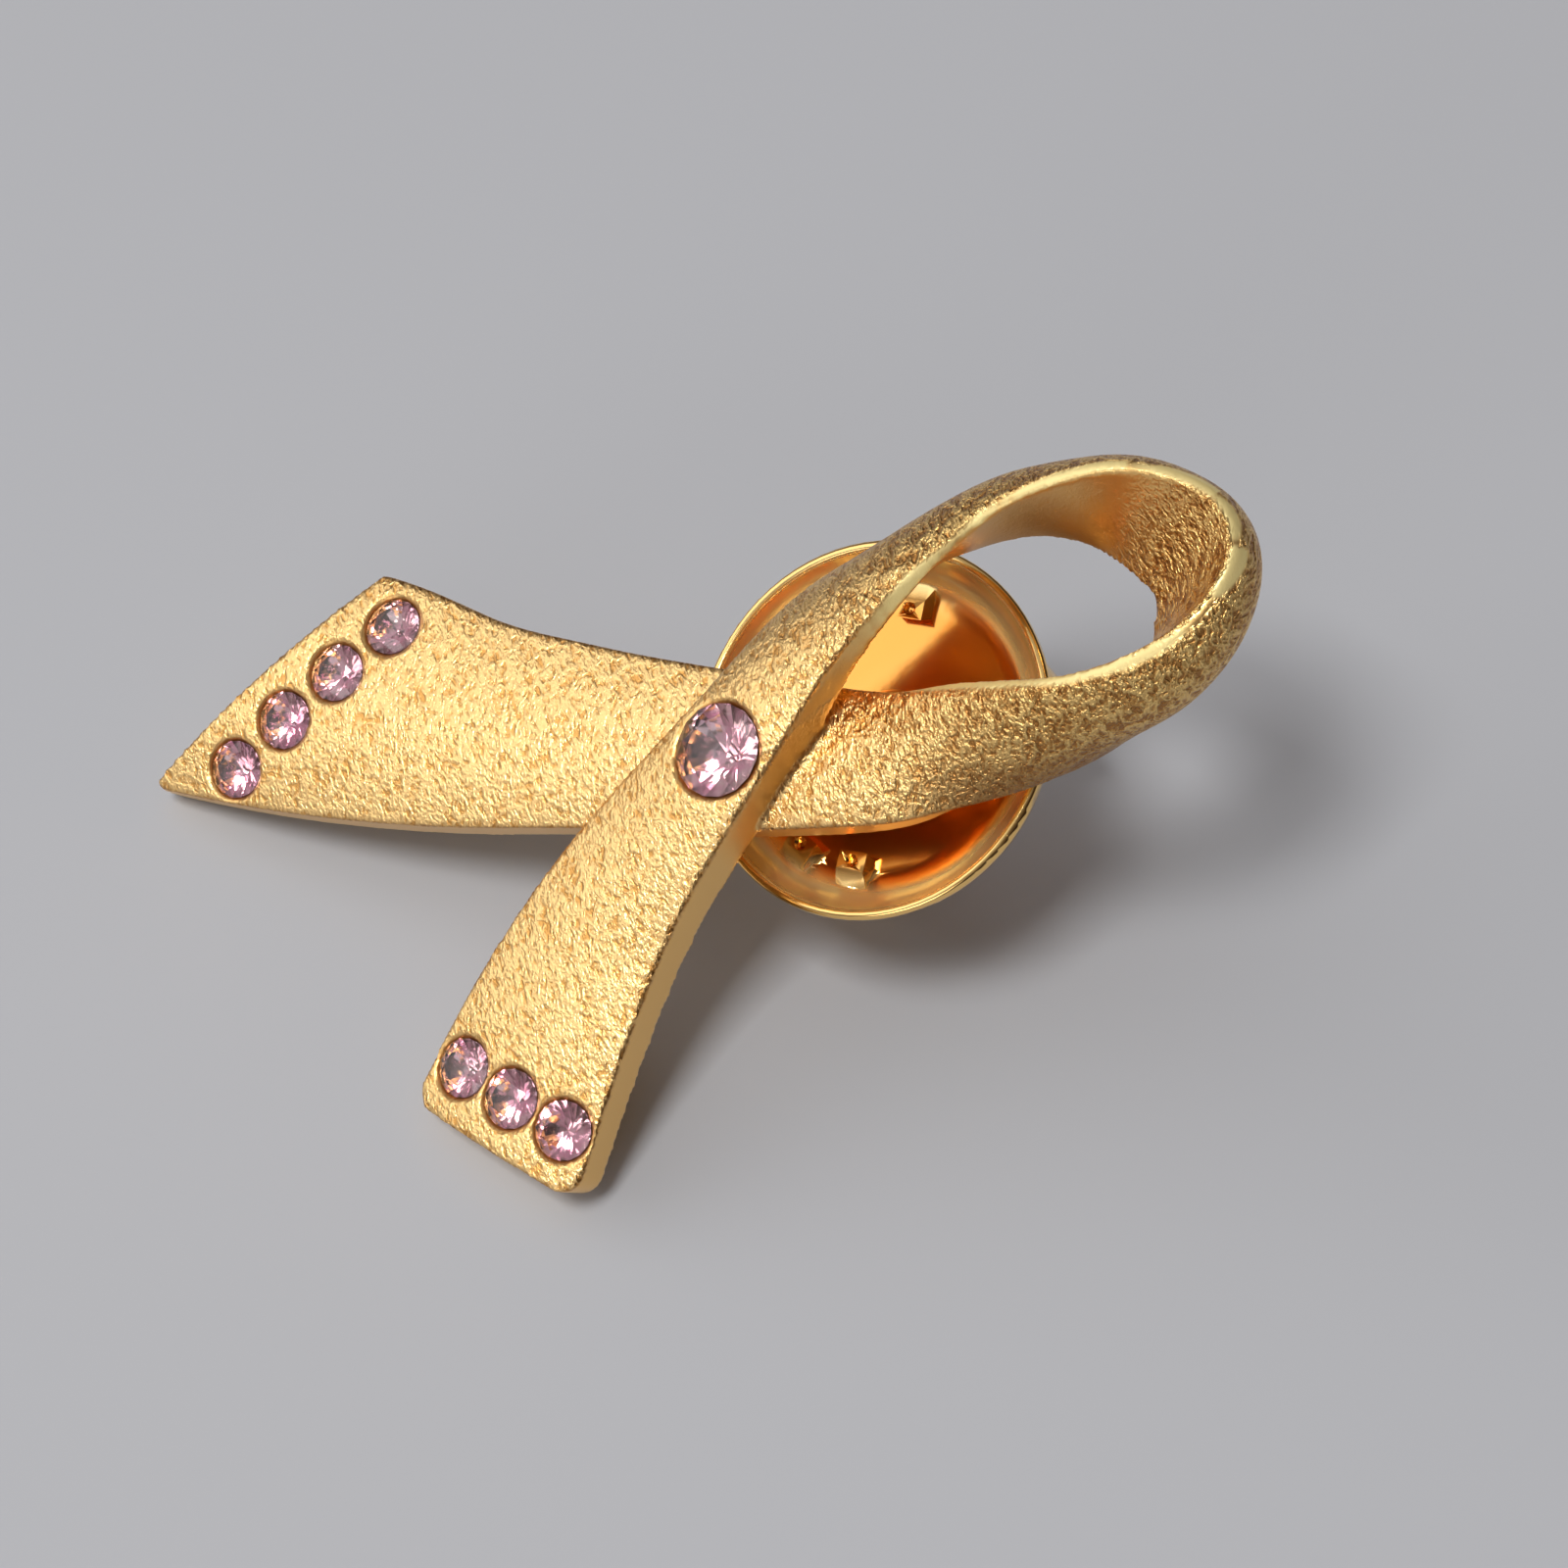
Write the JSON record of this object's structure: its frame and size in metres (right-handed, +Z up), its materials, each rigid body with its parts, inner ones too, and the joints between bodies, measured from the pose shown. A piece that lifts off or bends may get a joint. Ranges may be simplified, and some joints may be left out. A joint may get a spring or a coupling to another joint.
{
  "type": "awareness ribbon pin",
  "caption": "Looped ribbon lapel pin with round stones set in its crossing and tails, a back post and a dished clutch that slides off.",
  "frame": {"origin": "the middle of the pin's outline on the surface that it lies on, with its ribbon face up", "axes": "+X along the ribbon from its tails to its loop, +Y across it towards the long slanted tail, +Z up"},
  "size_m": [0.0331, 0.0201, 0.0189],
  "materials": {
    "matte_gold": "satin",
    "polished_gold": "polished",
    "pink_stone": "faceted"
  },
  "bodies": {
    "pin": {"ribbon": "matte_gold", "centre_stone": "pink_stone", "front_tail_stone_1": "pink_stone", "front_tail_stone_2": "pink_stone", "front_tail_stone_3": "pink_stone", "left_tail_stone_1": "pink_stone", "left_tail_stone_2": "pink_stone", "left_tail_stone_3": "pink_stone", "left_tail_stone_4": "pink_stone"},
    "clutch": {"clutch_plate": "polished_gold", "clutch_spring": "polished_gold"}
  },
  "joints": [
    {"name": "clutch_slide", "type": "slide", "parent": "pin", "child": "clutch", "axis": [0.4521, 0.318, -0.8334], "range_m": [-0.0002, 0.007]}
  ]
}
